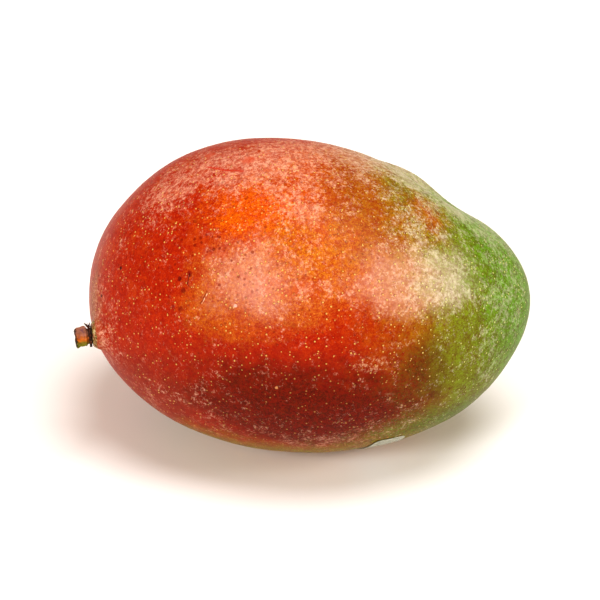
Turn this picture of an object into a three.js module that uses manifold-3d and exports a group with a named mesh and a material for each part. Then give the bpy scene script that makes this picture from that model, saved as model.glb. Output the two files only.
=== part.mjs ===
// A large mango lying on one cheek, with its cut stem, the dried calyx round the stem and a blank label.
// Millimetres, +Z up: the stem points to -X, the tip to +X, and the fuller back is at +Y.
import * as THREE from "three";
import { mergeVertices } from "three/addons/utils/BufferGeometryUtils.js";
import Module from "manifold-3d";

const wasm = await Module();
wasm.setup();

// Body: half sizes of the plain egg form and the shares that bend it
const HALF_LENGTH = 58.0;
const HALF_WIDTH = 46.9;
const HALF_THICKNESS = 43.9;
const TAPER = 0.04;
const END_NARROWING = 0.015;
const LEAN = 12.7;
const BEND = 3.7;

// Where the stem leaves the body, and the way it points
const STEM_TOWARDS = unit(-0.944, -0.301, -0.13);
const STEM_AXIS = unit(-0.982, -0.185, -0.042);

// Swellings: how far each raises the skin, or sinks it, and how wide it is as a share of the body's radius
const SWELLINGS = {
  farShoulder: { towards: unit(-0.8, 0.5, 0.4), height: -3.5, spread: 0.55 },
  nearShoulder: { towards: unit(-0.8, -0.5, -0.4), height: 3.9, spread: 0.55 },
  neck: { towards: STEM_TOWARDS, height: 1.8, spread: 0.25 },
  tipFarSide: { towards: unit(0.8, 0.5, 0.4), height: 0.3, spread: 0.5 },
  tipNearSide: { towards: unit(0.8, -0.4, -0.5), height: 3.6, spread: 0.5 },
  tip: { towards: unit(1, 0, 0), height: 7.9, spread: 0.45 },
  beak: { towards: unit(0.84, 0.46, 0.3), height: 1.4, spread: 0.39 },
  sinus: { towards: unit(0.745, 0.258, 0.597), height: -4.8, spread: 0.215 },
  ridgeBehindSinus: { towards: unit(0.643, 0.525, 0.477), height: 3.3, spread: 0.22 },
};

// Collar and socket of the stem, then the depth of the flat spot that the fruit lies on
const COLLAR_RISE = 2.15;
const COLLAR_SPREAD = 0.08;
const SOCKET_RADIUS = 2.5;
const SOCKET_DEPTH = 1.8;
const REST_DEPTH = 0.6;

// Stem: a root in the socket, a foot that spreads over the calyx, and the cut end
const ROOT_RADIUS = 2.2;
const ROOT_DEPTH = 1.5;
const STEM_RADIUS = 3.1;
const CUT_RADIUS = 2.8;
const CUT_BEVEL = 0.35;
const STEM_LENGTH = 4.7;

// Dried calyx: a thin ring with short stiff whiskers
const CALYX_INNER = 2.55;
const CALYX_OUTER = 3.45;
const CALYX_LOW = 0.3;
const CALYX_HIGH = 1.05;
const WHISKER_COUNT = 9;
const WHISKER_RADIUS = 0.42;
const WHISKER_SEED = 11;

// Label: a longish sticker with rounded corners, low on the front, near the tip
const LABEL_TOWARDS = unit(0.29, -0.6, -0.745);
const LABEL_HALF_ALONG = 4.7;
const LABEL_HALF_ROUND = 9.4;
const LABEL_TURN = -8;
const LABEL_GAP = 0.3;
const LABEL_THICKNESS = 0.65;
const LABEL_SQUARENESS = 7;

// Fineness of the meshes
const BODY_RINGS = 54;
const BODY_SEGMENTS = 60;
const RING_CROWDING = 0.78;
const ROUND_SEGMENTS = 24;
const LABEL_RINGS = 4;
const LABEL_SEGMENTS = 40;

function unit(x, y, z) {
  return new THREE.Vector3(x, y, z).normalize();
}

// Two directions square to the given one and to each other; the first leans towards +X
function tangents(towards) {
  const along = unit(1, 0, 0).addScaledVector(towards, -towards.x).normalize();
  return [along, towards.clone().cross(along)];
}

// How strongly a swelling centred on one direction acts in another: 1 at its centre, fading as a bell curve
function bell(direction, towards, spread) {
  return Math.exp(-direction.distanceToSquared(towards) / spread ** 2);
}

// The skin without its collar: an egg form leaning to one side, raised and sunk by the swellings
function plainSkin(direction) {
  const { x, y, z } = direction;
  const girth = 1 - TAPER * x - END_NARROWING * x ** 2;
  const point = new THREE.Vector3(
    HALF_LENGTH * x - LEAN * y,
    HALF_WIDTH * girth * y + BEND * x ** 2,
    HALF_THICKNESS * girth * z,
  );
  const raised = Object.values(SWELLINGS).reduce(
    (sum, swelling) => sum + swelling.height * bell(direction, swelling.towards, swelling.spread),
    0,
  );
  return point.addScaledVector(direction, raised);
}

const SEAT = plainSkin(STEM_TOWARDS).addScaledVector(STEM_AXIS, COLLAR_RISE);

// The skin: round the stem it is drawn out to a flat seat square to the stem
function skin(direction) {
  const point = plainSkin(direction);
  const near = direction.distanceToSquared(STEM_TOWARDS) / COLLAR_SPREAD ** 2;
  const height = point.clone().sub(SEAT).dot(STEM_AXIS);
  return point.addScaledVector(STEM_AXIS, -height * Math.exp(-(near ** 3)));
}

// The skin's outward normal, from two small steps along it
function skinNormal(direction) {
  const step = 0.002;
  const here = skin(direction);
  const [along, across] = tangents(direction).map((side) =>
    skin(direction.clone().addScaledVector(side, step).normalize()).sub(here),
  );
  return along.cross(across).normalize();
}

// A closed indexed geometry from rings of points between two poles; each ring turns the same way
function closedRings(firstPole, rings, lastPole) {
  const count = rings[0].length;
  const points = [firstPole, ...rings.flat(), lastPole];
  const last = points.length - 1;
  const index = [];
  for (let i = 0; i < count; i += 1) {
    const next = (i + 1) % count;
    index.push(0, 1 + i, 1 + next);
    for (let ring = 0; ring < rings.length - 1; ring += 1) {
      const a = 1 + ring * count;
      const b = a + count;
      index.push(a + i, b + i, b + next, a + i, b + next, a + next);
    }
    const rim = last - count;
    index.push(last, rim + next, rim + i);
  }
  const geometry = new THREE.BufferGeometry().setFromPoints(points);
  geometry.setIndex(index);
  return geometry;
}

// A geometry as a solid that can be cut and joined
function toSolid(geometry) {
  const bare = geometry.clone();
  bare.deleteAttribute("normal");
  bare.deleteAttribute("uv");
  const merged = mergeVertices(bare, 1e-4);
  const corners = Array.from(merged.index.array);
  const kept = [];
  for (let i = 0; i < corners.length; i += 3) {
    const [a, b, c] = corners.slice(i, i + 3);
    if (a !== b && b !== c && c !== a) {
      kept.push(a, b, c);
    }
  }
  const vertProperties = Float32Array.from(merged.attributes.position.array);
  const triVerts = Uint32Array.from(kept);
  return new wasm.Manifold(new wasm.Mesh({ numProp: 3, vertProperties, triVerts }));
}

function toGeometry(solid) {
  const mesh = solid.getMesh();
  const geometry = new THREE.BufferGeometry();
  geometry.setAttribute("position", new THREE.BufferAttribute(mesh.vertProperties, 3));
  geometry.setIndex(new THREE.BufferAttribute(mesh.triVerts, 1));
  geometry.computeVertexNormals();
  return geometry;
}

// Stands a geometry made round +Y on the stem's seat, with +Y along the stem and +X as near to upwards as it can be
function onStem(geometry) {
  const up = unit(0, 0, 1).addScaledVector(STEM_AXIS, -STEM_AXIS.z).normalize();
  const place = new THREE.Matrix4().makeBasis(up, STEM_AXIS, up.clone().cross(STEM_AXIS)).setPosition(SEAT);
  return geometry.applyMatrix4(place);
}

function piece(name, geometry, color, roughness) {
  const material = new THREE.MeshStandardMaterial({ color, roughness, metalness: 0 });
  const mesh = new THREE.Mesh(geometry, material);
  mesh.name = name;
  return mesh;
}

// Whole fruit: rings round the stem, crowded at both ends, then the stem's socket and the flat spot cut away
function fruit() {
  const [side, up] = tangents(STEM_TOWARDS);
  const ring = (tilt) =>
    Array.from({ length: BODY_SEGMENTS }, (_, i) => {
      const turn = (2 * Math.PI * i) / BODY_SEGMENTS;
      const direction = STEM_TOWARDS.clone().multiplyScalar(Math.cos(tilt));
      direction.addScaledVector(side, Math.sin(tilt) * Math.cos(turn));
      direction.addScaledVector(up, Math.sin(tilt) * Math.sin(turn));
      return skin(direction);
    });
  const rings = [];
  for (let i = 1; i < BODY_RINGS; i += 1) {
    const share = i / BODY_RINGS;
    rings.push(ring(Math.PI * share - (RING_CROWDING / 2) * Math.sin(2 * Math.PI * share)));
  }
  const body = closedRings(skin(STEM_TOWARDS), rings, skin(STEM_TOWARDS.clone().negate()));
  body.computeBoundingBox();

  const socket = new THREE.CylinderGeometry(SOCKET_RADIUS, SOCKET_RADIUS, 2 * SOCKET_DEPTH, ROUND_SEGMENTS);
  const floor = new THREE.BoxGeometry(4 * HALF_LENGTH, 4 * HALF_WIDTH, 20);
  floor.translate(0, 0, body.boundingBox.min.z + REST_DEPTH - 10);
  const solid = toSolid(body).subtract(toSolid(onStem(socket))).subtract(toSolid(floor));
  return piece("fruit", toGeometry(solid), 0xb4512a, 0.4);
}

// Cut stem: its root stands in the socket and its foot spreads over the calyx
function stem() {
  const foot = CALYX_HIGH + 0.3;
  const profile = [
    new THREE.Vector2(0, -ROOT_DEPTH),
    new THREE.Vector2(ROOT_RADIUS, -ROOT_DEPTH),
    new THREE.Vector2(ROOT_RADIUS, foot),
    new THREE.Vector2(STEM_RADIUS, foot + 0.15),
    new THREE.Vector2(STEM_RADIUS, foot + 1.0),
    new THREE.Vector2(CUT_RADIUS, STEM_LENGTH - CUT_BEVEL),
    new THREE.Vector2(CUT_RADIUS - CUT_BEVEL, STEM_LENGTH),
    new THREE.Vector2(0, STEM_LENGTH),
  ];
  const geometry = onStem(new THREE.LatheGeometry(profile, ROUND_SEGMENTS));
  return piece("stem", toGeometry(toSolid(geometry)), 0x9a6a34, 0.7);
}

// Repeatable draw of numbers from 0 to 1
function seededDraw(seed) {
  let state = seed;
  return () => {
    state = (state * 1103515245 + 12345) % 2147483648;
    return state / 2147483648;
  };
}

// Dried calyx: a ring round the stem's root, joined with whiskers that lean outwards
function driedCalyx() {
  const profile = [
    new THREE.Vector2(CALYX_INNER, CALYX_LOW),
    new THREE.Vector2(CALYX_OUTER, CALYX_LOW),
    new THREE.Vector2(CALYX_OUTER - 0.1, CALYX_HIGH),
    new THREE.Vector2(CALYX_INNER, CALYX_HIGH),
    new THREE.Vector2(CALYX_INNER, CALYX_LOW),
  ];
  const draw = seededDraw(WHISKER_SEED);
  let solid = toSolid(new THREE.LatheGeometry(profile, ROUND_SEGMENTS));
  for (let i = 0; i < WHISKER_COUNT; i += 1) {
    const length = 1.1 + 0.7 * draw();
    const lean = THREE.MathUtils.degToRad(38 + 14 * draw());
    const turn = (2 * Math.PI * (i + 0.5 * draw())) / WHISKER_COUNT;
    const whisker = new THREE.CylinderGeometry(0.7 * WHISKER_RADIUS, WHISKER_RADIUS, length, 6);
    whisker.translate(0, length / 2, 0).rotateZ(-lean);
    whisker.translate(CALYX_OUTER - 0.55, CALYX_LOW + 0.4, 0).rotateY(turn);
    solid = solid.add(toSolid(whisker));
  }
  return piece("dried_calyx", onStem(toGeometry(solid)), 0x2e2018, 0.9);
}

// Label: a patch with rounded corners that follows the skin, with its two faces joined at the rim
function label() {
  const [side, up] = tangents(LABEL_TOWARDS);
  const centre = skin(LABEL_TOWARDS);
  const step = 0.01;
  const [alongScale, roundScale] = [side, up].map(
    (edge) => skin(LABEL_TOWARDS.clone().addScaledVector(edge, step).normalize()).distanceTo(centre) / step,
  );
  const turn = THREE.MathUtils.degToRad(LABEL_TURN);
  const place = (share, angle, lift) => {
    const [c, s] = [Math.cos(angle), Math.sin(angle)];
    const reach = share / (Math.abs(c) ** LABEL_SQUARENESS + Math.abs(s) ** LABEL_SQUARENESS) ** (1 / LABEL_SQUARENESS);
    const a = LABEL_HALF_ALONG * reach * c;
    const b = LABEL_HALF_ROUND * reach * s;
    const direction = LABEL_TOWARDS.clone();
    direction.addScaledVector(side, (a * Math.cos(turn) - b * Math.sin(turn)) / alongScale);
    direction.addScaledVector(up, (a * Math.sin(turn) + b * Math.cos(turn)) / roundScale);
    direction.normalize();
    return skin(direction).addScaledVector(skinNormal(direction), lift);
  };
  const ring = (share, lift) =>
    Array.from({ length: LABEL_SEGMENTS }, (_, i) => place(share, (2 * Math.PI * i) / LABEL_SEGMENTS, lift));
  const shares = Array.from({ length: LABEL_RINGS }, (_, i) => (i + 1) / LABEL_RINGS);
  const outer = LABEL_GAP + LABEL_THICKNESS;
  const rings = [
    ...shares.map((share) => ring(share, outer)),
    ...shares.toReversed().map((share) => ring(share, LABEL_GAP)),
  ];
  const geometry = closedRings(place(0, 0, outer), rings, place(0, 0, LABEL_GAP));
  return piece("label", toGeometry(toSolid(geometry)), 0xd9d6ca, 0.6);
}

// The origin is the middle of the whole thing's footprint, on the surface that it lies on
const mango = new THREE.Group();
mango.add(fruit(), stem(), driedCalyx(), label());
const box = new THREE.Box3().setFromObject(mango);
const middle = box.getCenter(new THREE.Vector3());
mango.position.set(-middle.x, -middle.y, -box.min.z);

export default mango;
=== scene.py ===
"""A large ripe mango lying on a white table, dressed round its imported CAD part.

Every piece is a surface worked out from the same named sizes as the CAD part, on a finer grid, in
millimetres, and put into its mesh in metres. Directions start at the middle of the fruit's body.
"""

import logging
import math
from dataclasses import dataclass, field
from enum import Enum
from typing import TypeVar

import bpy
import numpy as np
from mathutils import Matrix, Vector

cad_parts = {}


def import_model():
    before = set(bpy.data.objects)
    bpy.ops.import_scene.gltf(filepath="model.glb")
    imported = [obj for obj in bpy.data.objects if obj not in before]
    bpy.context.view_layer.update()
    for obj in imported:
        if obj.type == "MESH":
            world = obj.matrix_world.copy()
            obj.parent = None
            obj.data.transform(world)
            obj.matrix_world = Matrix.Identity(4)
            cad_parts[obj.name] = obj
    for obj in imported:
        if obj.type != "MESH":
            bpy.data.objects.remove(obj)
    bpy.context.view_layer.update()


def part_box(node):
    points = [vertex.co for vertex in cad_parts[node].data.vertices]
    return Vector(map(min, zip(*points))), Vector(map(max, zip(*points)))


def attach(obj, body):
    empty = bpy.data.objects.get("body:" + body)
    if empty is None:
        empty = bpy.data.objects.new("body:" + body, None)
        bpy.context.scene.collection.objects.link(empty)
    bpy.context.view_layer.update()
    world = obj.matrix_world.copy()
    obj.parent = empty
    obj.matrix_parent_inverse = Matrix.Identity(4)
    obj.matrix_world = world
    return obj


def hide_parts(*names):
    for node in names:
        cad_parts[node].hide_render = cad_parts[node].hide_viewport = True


log = logging.getLogger("mango")
MM = 0.001
Triple = tuple[float, float, float]
Part = TypeVar("Part")


class Slot(Enum):
    """The record's material slots."""

    SKIN = "mango_skin"
    STEM = "cut_stem"
    CALYX = "dry_calyx"
    LABEL = "label_paper"


def unit(x: float, y: float, z: float) -> np.ndarray:
    """A direction of length one."""
    v = np.array([x, y, z], float)
    return v / np.linalg.norm(v)


def linear(code: str) -> tuple[float, float, float, float]:
    """Turns a six-letter screen colour into Blender's linear colour.

    Args:
        code: red, green and blue, two hexadecimal letters each.

    Returns:
        Linear red, green, blue, and an alpha of one.
    """
    parts = [int(code[i : i + 2], 16) / 255 for i in (0, 2, 4)]
    r, g, b = (c / 12.92 if c <= 0.04045 else ((c + 0.055) / 1.055) ** 2.4 for c in parts)
    return (r, g, b, 1.0)


def default(table: dict[str, Part]) -> dict[str, Part]:
    """A dataclass field that starts as a copy of a table of named parts.

    Args:
        table: the parts by name.

    Returns:
        The field, typed as its value.
    """
    return field(default_factory=table.copy)


def smooth(values: np.ndarray, low: float, high: float) -> np.ndarray:
    """An S-shaped rise from 0 at low to 1 at high: 3t^2 - 2t^3 of the share t of the way."""
    t = np.clip((values - low) / (high - low), 0, 1)
    return t * t * (3 - 2 * t)


@dataclass(frozen=True)
class Ripple:
    """Gentle unevenness: a sum of sine waves in seeded directions, from -1 to 1."""

    seed: int
    shortest: float
    longest: float
    waves: int = 14

    def at(self, points: np.ndarray) -> np.ndarray:
        """Works out the unevenness: the mean of sin(k.p + phase) over the waves, doubled and capped.

        Args:
            points: places in millimetres, of shape (..., 3).

        Returns:
            One value for each place.
        """
        draw = np.random.default_rng(self.seed)
        ways = draw.normal(size=(self.waves, 3))
        ways /= np.linalg.norm(ways, axis=1, keepdims=True)
        lengths = draw.uniform(self.shortest, self.longest, self.waves)
        phases = draw.uniform(0, 2 * math.pi, self.waves)
        turns = points @ (ways * (2 * math.pi / lengths)[:, None]).T + phases
        return np.clip(2 * np.sin(turns).mean(axis=-1), -1, 1)


@dataclass(frozen=True)
class Swelling:
    """A place where the skin is raised or sunk by a height, fading as a bell curve of the given spread."""

    towards: np.ndarray
    height: float
    spread: float


STEM_TOWARDS = unit(-0.944, -0.301, -0.13)
STEM_AXIS = unit(-0.982, -0.185, -0.042)


@dataclass(frozen=True)
class MangoForm:
    """The whole fruit's skin as a function of direction, in millimetres from the middle of its body."""

    half_length: float = 58.0
    half_width: float = 46.9
    half_thickness: float = 43.9
    taper: float = 0.04
    end_narrowing: float = 0.015
    lean: float = 12.7
    bend: float = 3.7
    collar_rise: float = 2.15
    collar_spread: float = 0.08
    swellings: dict[str, Swelling] = default({
        "far_shoulder": Swelling(unit(-0.8, 0.5, 0.4), -3.5, 0.55),
        "near_shoulder": Swelling(unit(-0.8, -0.5, -0.4), 3.9, 0.55),
        "neck": Swelling(STEM_TOWARDS, 1.8, 0.25),
        "tip_far_side": Swelling(unit(0.8, 0.5, 0.4), 0.3, 0.5),
        "tip_near_side": Swelling(unit(0.8, -0.4, -0.5), 3.6, 0.5),
        "tip": Swelling(unit(1, 0, 0), 7.9, 0.45),
        "beak": Swelling(unit(0.84, 0.46, 0.3), 1.4, 0.39),
        "sinus": Swelling(unit(0.745, 0.258, 0.597), -4.8, 0.215),
        "ridge_behind_sinus": Swelling(unit(0.643, 0.525, 0.477), 3.3, 0.22),
    })

    def plain(self, d: np.ndarray) -> np.ndarray:
        """The skin without its collar: an egg form leaning to one side, raised and sunk by the swellings.

        Args:
            d: directions of length one, of shape (..., 3).

        Returns:
            The skin's place in each direction.
        """
        x, y, z = np.moveaxis(d, -1, 0)
        girth = 1 - self.taper * x - self.end_narrowing * x**2
        egg = np.stack(
            [
                self.half_length * x - self.lean * y,
                self.half_width * girth * y + self.bend * x**2,
                self.half_thickness * girth * z,
            ],
            axis=-1,
        )
        raised = sum(
            s.height * np.exp(-((d - s.towards) ** 2).sum(axis=-1) / s.spread**2)
            for s in self.swellings.values()
        )
        return egg + d * raised[..., None]

    def seat(self) -> np.ndarray:
        """The middle of the flat seat that the stem stands on."""
        return self.plain(STEM_TOWARDS) + STEM_AXIS * self.collar_rise

    def skin(self, d: np.ndarray) -> np.ndarray:
        """The skin, drawn out round the stem to a flat seat, over which its height fades as exp(-r^6).

        Args:
            d: directions of length one, of shape (..., 3).

        Returns:
            The skin's place in each direction.
        """
        point = self.plain(d)
        near = ((d - STEM_TOWARDS) ** 2).sum(axis=-1) / self.collar_spread**2
        height = (point - self.seat()) @ STEM_AXIS
        return point - STEM_AXIS * (height * np.exp(-(near**3)))[..., None]

    def normal(self, d: np.ndarray) -> np.ndarray:
        """The skin's outward direction, from the cross product of two small steps along it.

        Args:
            d: directions of length one, of shape (..., 3).

        Returns:
            Outward directions of length one.
        """
        step = 0.002
        along, across = tangents(d)
        here = self.skin(d)
        first, second = (self.skin(renewed(d + step * side)) - here for side in (along, across))
        return renewed(np.cross(first, second))


def renewed(v: np.ndarray) -> np.ndarray:
    """The same directions at length one."""
    return v / np.linalg.norm(v, axis=-1, keepdims=True)


def tangents(d: np.ndarray) -> tuple[np.ndarray, np.ndarray]:
    """Two directions square to the given ones and to each other; the first leans towards +X.

    Args:
        d: directions of length one, of shape (..., 3).

    Returns:
        The direction along and the direction across.
    """
    along = renewed(np.array([1.0, 0.0, 0.0]) - d[..., :1] * d)
    return along, np.cross(d, along)


def bands(rings: np.ndarray, next_rings: np.ndarray) -> np.ndarray:
    """Faces between rings and the rings after them.

    Args:
        rings: the numbers of the rings' points, of shape (rings, points in a ring).
        next_rings: the same for the rings that follow them.

    Returns:
        Faces of four corners.
    """
    corners = [rings, next_rings, np.roll(next_rings, -1, 1), np.roll(rings, -1, 1)]
    return np.stack(corners, axis=-1).reshape(-1, 4)


def closed_mesh(name: str, first: np.ndarray, rings: np.ndarray, last: np.ndarray) -> bpy.types.Object:
    """Makes a smooth closed piece from rings of points between two poles, its faces turned outwards.

    Args:
        name: the piece's name.
        first: the pole before the first ring, in millimetres of the shared frame.
        rings: points of shape (rings, points in a ring, 3).
        last: the pole after the last ring.

    Returns:
        The new object, at the origin.
    """
    points = np.concatenate([first[None], rings.reshape(-1, 3), last[None]])
    index = np.arange(1, len(points) - 1).reshape(rings.shape[:2])
    rim, end = index[0], index[-1]
    start_cap = np.stack([np.zeros_like(rim), rim, np.roll(rim, -1)], axis=-1)
    end_cap = np.stack([np.full_like(end, len(points) - 1), np.roll(end, -1), end], axis=-1)
    return piece_from(name, points, bands(index[:-1], index[1:]), np.concatenate([start_cap, end_cap]))


def closed_loop(name: str, rings: np.ndarray) -> bpy.types.Object:
    """Makes a smooth closed piece from rings that join up end to start, as on a bracelet.

    Args:
        name: the piece's name.
        rings: points of shape (rings, points in a ring, 3).

    Returns:
        The new object, at the origin.
    """
    points = rings.reshape(-1, 3)
    index = np.arange(len(points)).reshape(rings.shape[:2])
    return piece_from(name, points, bands(index, np.roll(index, -1, 0)), np.zeros((0, 3), int))


def piece_from(name: str, points: np.ndarray, quads: np.ndarray, caps: np.ndarray) -> bpy.types.Object:
    """Puts points and faces into a new mesh, turning all faces over if the volume they close is negative.

    Args:
        name: the piece's name.
        points: places in millimetres, of shape (points, 3).
        quads: faces of four corners.
        caps: faces of three corners.

    Returns:
        The new object, at the origin.
    """
    triangles = np.concatenate([quads[:, [0, 1, 2]], quads[:, [0, 2, 3]], caps])
    p, q, r = (points[triangles[:, i]] for i in range(3))
    if np.einsum("ij,ij->", p, np.cross(q, r)) < 0:
        quads, caps = quads[:, ::-1], caps[:, ::-1]
    mesh = bpy.data.meshes.new(name)
    mesh.from_pydata((points * MM).tolist(), [], quads.tolist() + caps.tolist())
    mesh.polygons.foreach_set("use_smooth", np.ones(len(mesh.polygons), bool))
    mesh.update()
    piece = bpy.data.objects.new(name, mesh)
    bpy.context.scene.collection.objects.link(piece)
    return piece


class Signal:
    """One shader socket; a sum, a difference or a product with it adds a node."""

    def __init__(self, graph: "Graph", socket: bpy.types.NodeSocket) -> None:
        """Wraps a socket of the graph's material."""
        self.graph = graph
        self.socket = socket

    def _joined(self, operation: str, other: "Term") -> "Signal":
        """Adds a Math node, or a Vector Math node if this is a vector or a colour.

        Args:
            operation: the node's operation, such as ADD.
            other: a signal, a number or a triple.

        Returns:
            The node's result.
        """
        is_vector = self.socket.type in ("VECTOR", "RGBA")
        if is_vector and isinstance(other, (int, float)):
            other = (other,) * 3
        kind = "ShaderNodeVectorMath" if is_vector else "ShaderNodeMath"
        return self.graph.out(kind, {"operation": operation}, {0: self, 1: other}, 0)

    def __add__(self, other: "Term") -> "Signal":
        """Self plus other."""
        return self._joined("ADD", other)

    def __sub__(self, other: "Term") -> "Signal":
        """Self minus other."""
        return self._joined("SUBTRACT", other)

    def __mul__(self, other: "Term") -> "Signal":
        """Self times other."""
        return self._joined("MULTIPLY", other)

    def dot(self, other: "Term") -> "Signal":
        """The dot product of two vectors, as a number."""
        inputs = {0: self, 1: other}
        return self.graph.out("ShaderNodeVectorMath", {"operation": "DOT_PRODUCT"}, inputs, "Value")

    def length(self) -> "Signal":
        """The length of a vector, as a number."""
        return self.graph.out("ShaderNodeVectorMath", {"operation": "LENGTH"}, {0: self}, "Value")

    def faded(self) -> "Signal":
        """The bell curve exp(-value)."""
        return self.graph.out("ShaderNodeMath", {"operation": "EXPONENT"}, {0: self * -1.0}, 0)

    def clamped(self) -> "Signal":
        """The value held between 0 and 1."""
        return self.graph.out("ShaderNodeClamp", {}, {0: self}, 0)

    def peak(self, middle: float, width: float) -> "Signal":
        """1 at the middle value, falling to 0 at a width from it."""
        return self.rise(middle - width, middle) * self.rise(middle, middle + width, 1.0, 0.0)

    def rise(self, low: float, high: float, start: float = 0.0, end: float = 1.0) -> "Signal":
        """An S-shaped rise.

        Args:
            low: the value where it starts.
            high: the value where it ends.
            start: the result up to low.
            end: the result from high.

        Returns:
            A value between start and end.
        """
        return self.graph.out(
            "ShaderNodeMapRange",
            {"interpolation_type": "SMOOTHSTEP"},
            {"Value": self, "From Min": low, "From Max": high, "To Min": start, "To Max": end},
            0,
        )


Term = Signal | float | Triple


class Graph:
    """A new material with its nodes."""

    def __init__(self, name: str) -> None:
        """Starts an empty material of that name."""
        self.material = bpy.data.materials.new(name)
        self.material.use_nodes = True
        self.tree = self.material.node_tree
        self.tree.nodes.clear()

    def node(self, kind: str, settings: dict[str, object], inputs: dict[str | int, object]) -> bpy.types.Node:
        """Adds a node.

        Args:
            kind: the node's type.
            settings: properties to set first.
            inputs: a value or a signal for each socket, by name or number.

        Returns:
            The new node.
        """
        made = self.tree.nodes.new(kind)
        for name, value in settings.items():
            setattr(made, name, value)
        for name, value in inputs.items():
            if isinstance(value, Signal):
                self.tree.links.new(value.socket, made.inputs[name])
            else:
                made.inputs[name].default_value = value
        return made

    def out(
        self, kind: str, settings: dict[str, object], inputs: dict[str | int, object], output: str | int
    ) -> Signal:
        """Adds a node and returns one of its outputs.

        Args:
            kind: the node's type.
            settings: properties to set first.
            inputs: a value or a signal for each socket.
            output: the output's name or number.

        Returns:
            That output as a signal.
        """
        return Signal(self, self.node(kind, settings, inputs).outputs[output])

    def place(self) -> Signal:
        """The surface's place in millimetres of the shared frame."""
        return self.out("ShaderNodeTexCoord", {}, {}, "Object") * (1 / MM)

    def noise(self, at: Signal, size: float, detail: float, rough: float, seed: float) -> Signal:
        """Soft random patches from 0 to 1.

        Args:
            at: places in millimetres.
            size: the patches' size in millimetres.
            detail: how many finer layers it has.
            rough: how strong the finer layers are.
            seed: a different pattern for each number.

        Returns:
            One value for each place.
        """
        inputs = {"Vector": at, "W": seed, "Scale": 1 / size, "Detail": detail, "Roughness": rough}
        return self.out("ShaderNodeTexNoise", {"noise_dimensions": "4D"}, inputs, 0)

    def drift(self, at: Signal, size: float, reach: float, detail: float = 2.0) -> Signal:
        """Places moved about by soft noise.

        Args:
            at: places in millimetres.
            size: the size of the noise's patches in millimetres.
            reach: how far a place moves at most, in millimetres.
            detail: how many finer layers the noise has.

        Returns:
            The moved places.
        """
        inputs = {"Vector": at, "Scale": 1 / size, "Detail": detail}
        colour = self.out("ShaderNodeTexNoise", {}, inputs, "Color")
        return at + (colour - 0.5) * (2 * reach)

    def dots(self, at: Signal, spacing: float, radius: float, seed: Triple, share: float = 1.0) -> Signal:
        """Scattered round dots: 1 in a dot's middle, 0 outside.

        Args:
            at: places in millimetres.
            spacing: the size of the cell round each dot, in millimetres.
            radius: the dots' radius in millimetres.
            seed: an offset that gives a different scatter.
            share: the share of the cells that have a dot.

        Returns:
            One value for each place.
        """
        cells = self.node("ShaderNodeTexVoronoi", {}, {"Vector": at + seed, "Scale": 1 / spacing})
        reach = Signal(self, cells.outputs["Distance"]) * spacing
        size = Signal(self, cells.outputs["Color"]).dot((1.0, 0.0, 0.0)).rise(1 - share, 1.0, 0.0, radius)
        return (size - reach).rise(-0.1 * radius, 0.35 * radius)

    def mix(self, first: Signal | str, second: Signal | str, share: Signal) -> Signal:
        """A colour between two, each given as a signal or as a six-letter code.

        Args:
            first: the colour where the share is 0.
            second: the colour where it is 1.
            share: how much of the second.

        Returns:
            The mixed colour.
        """
        under, over = (linear(c) if isinstance(c, str) else c for c in (first, second))
        return self.out("ShaderNodeMix", {"data_type": "RGBA"}, {0: share, 6: under, 7: over}, 2)

    def bump(self, height: Signal, strength: float, distance: float) -> Signal:
        """Raises and sinks the lit surface.

        Args:
            height: the height from 0 to 1.
            strength: how much of it counts.
            distance: what a height of 1 stands for, in millimetres.

        Returns:
            The changed surface direction.
        """
        inputs = {"Strength": strength, "Distance": distance * MM, "Height": height}
        return self.out("ShaderNodeBump", {}, inputs, 0)

    def finish(self, **inputs: object) -> bpy.types.Material:
        """Ends the material in one Principled shader.

        Args:
            inputs: the shader's sockets, with _ for a space.

        Returns:
            The material.
        """
        named = {name.replace("_", " "): value for name, value in inputs.items()}
        shader = self.node("ShaderNodeBsdfPrincipled", {}, named)
        end = self.tree.nodes.new("ShaderNodeOutputMaterial")
        self.tree.links.new(shader.outputs[0], end.inputs["Surface"])
        return self.material


@dataclass(frozen=True)
class Zone:
    """A soft-edged region of the skin: its middle and reach in millimetres, its colour and strength."""

    centre: Triple
    reach: Triple
    colour: str = "ffffff"
    strength: float = 1.0

    def share(self, at: Signal) -> Signal:
        """The bell curve strength x exp(-|(place - centre) / reach|^2).

        Args:
            at: places in millimetres.

        Returns:
            How strongly the zone shows there.
        """
        away = (at - self.centre) * tuple(1 / r for r in self.reach)
        return away.dot(away).faded() * self.strength

    def over(self, colour: Signal | str, at: Signal, fray: Signal, *edge: float) -> Signal:
        """Lays the zone's colour over another one, with a frayed edge.

        Args:
            colour: the colour under it.
            at: places in millimetres.
            fray: the unevenness that is added to the share.
            edge: the sums where the zone starts and is whole, then, if given, how much shows at each.

        Returns:
            The new colour.
        """
        return at.graph.mix(colour, self.colour, (self.share(at) + fray).rise(*edge))


@dataclass(frozen=True)
class Mark:
    """A small mark on the skin: its ends and half width in millimetres, its colour and strength."""

    start: Triple
    end: Triple
    half: float
    colour: str
    strength: float = 0.8

    def share(self, at: Signal) -> Signal:
        """How strongly the mark shows: whole on the line from start to end, 0 beyond its half width.

        Args:
            at: places in millimetres.

        Returns:
            A value from 0 to the strength.
        """
        along = tuple(b - a for a, b in zip(self.start, self.end))
        squared = sum(v * v for v in along)
        off = at - self.start
        if squared:
            part = off.dot(tuple(v / squared for v in along)).clamped()
            inputs = {0: along, "Scale": part}
            off = off - at.graph.out("ShaderNodeVectorMath", {"operation": "SCALE"}, inputs, 0)
        return off.dot(off).rise(0.3 * self.half**2, 1.7 * self.half**2, self.strength, 0.0)


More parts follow.
